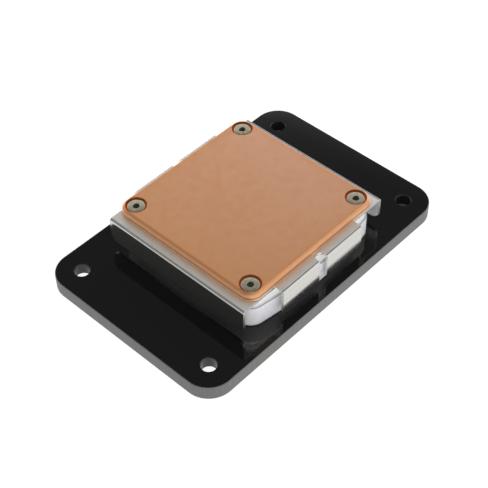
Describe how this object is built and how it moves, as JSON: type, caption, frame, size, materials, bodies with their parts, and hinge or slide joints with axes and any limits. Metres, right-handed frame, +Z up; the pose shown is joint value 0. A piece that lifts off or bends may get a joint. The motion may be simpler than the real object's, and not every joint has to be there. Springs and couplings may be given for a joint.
{
  "type": "cpu water block",
  "caption": "Liquid cooling block: finned copper cold plate in a folded steel tray, screwed through a clear chamber body onto a flat black plate with ports and corner mounting holes",
  "frame": {"origin": "middle of the mounting plate's underside", "axes": "X along the mounting plate's long side, Y along its short side, Z up through the block to the copper contact face; the inlet port is at minus X"},
  "size_m": [0.1068, 0.0706, 0.0199],
  "materials": {
    "black_acrylic": "polished black sheet with satin sawn edges",
    "clear_acrylic": "milky clear, machined and lightly polished",
    "brushed_steel": "fine straight brushing, folded",
    "lapped_copper": "bare copper, lapped contact face",
    "screw_steel": "bright turned steel",
    "brass": "turned brass",
    "seal_rubber": "smooth moulded rubber",
    "insert_plastic": "moulded matte black"
  },
  "bodies": {
    "root": {"mounting_plate": "black_acrylic", "clear_body": "clear_acrylic", "steel_tray": "brushed_steel", "cold_plate": "lapped_copper", "cold_plate_screw_front_left": "screw_steel", "cold_plate_screw_front_right": "screw_steel", "cold_plate_screw_back_right": "screw_steel", "cold_plate_screw_back_left": "screw_steel", "threaded_insert_front_left": "brass", "threaded_insert_front_right": "brass", "threaded_insert_back_right": "brass", "threaded_insert_back_left": "brass", "plate_screw_front_left": "screw_steel", "plate_screw_front_right": "screw_steel", "plate_screw_back_right": "screw_steel", "plate_screw_back_left": "screw_steel", "main_seal": "seal_rubber", "inlet_port_seal": "seal_rubber", "outlet_port_seal": "seal_rubber", "flow_insert": "insert_plastic", "jet_plate": "brushed_steel"}
  },
  "joints": []
}
